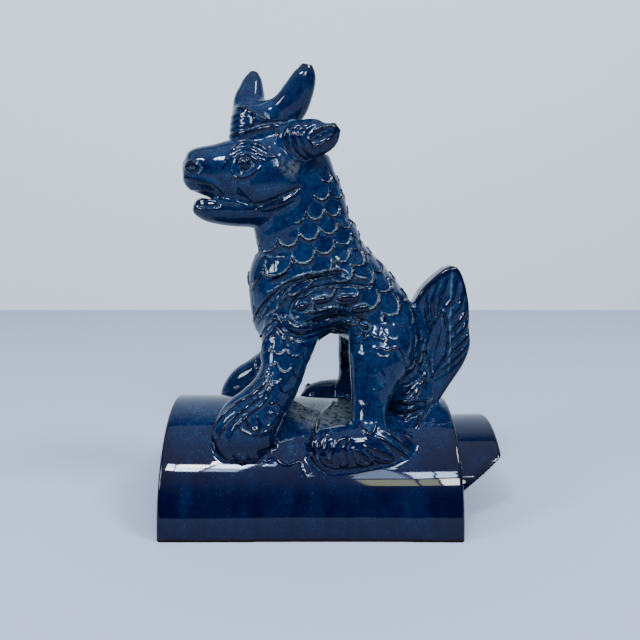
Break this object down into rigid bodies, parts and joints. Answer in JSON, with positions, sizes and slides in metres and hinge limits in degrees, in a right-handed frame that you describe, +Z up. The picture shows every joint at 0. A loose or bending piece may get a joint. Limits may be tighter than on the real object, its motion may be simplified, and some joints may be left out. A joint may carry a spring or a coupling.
{
  "type": "ridge beast ornament",
  "caption": "Glazed half-round ridge tile carrying a seated, horned and scaled ridge beast with an upright leaf-shaped tail and a spigot at one end.",
  "frame": {"origin": "on the bed plane under the middle of the whole length, spigot included", "axes": "+X along the ridge towards the spigot, so the beast faces -X; +Y to the beast's right; +Z up"},
  "size_m": [0.197, 0.128, 0.2638],
  "materials": {
    "blue_glaze": "glossy cobalt-blue glaze over fired clay, speckled, pooled dark in hollows and thin on edges"
  },
  "bodies": {
    "root": {"ridge_beast_tile": "blue_glaze"}
  },
  "joints": []
}
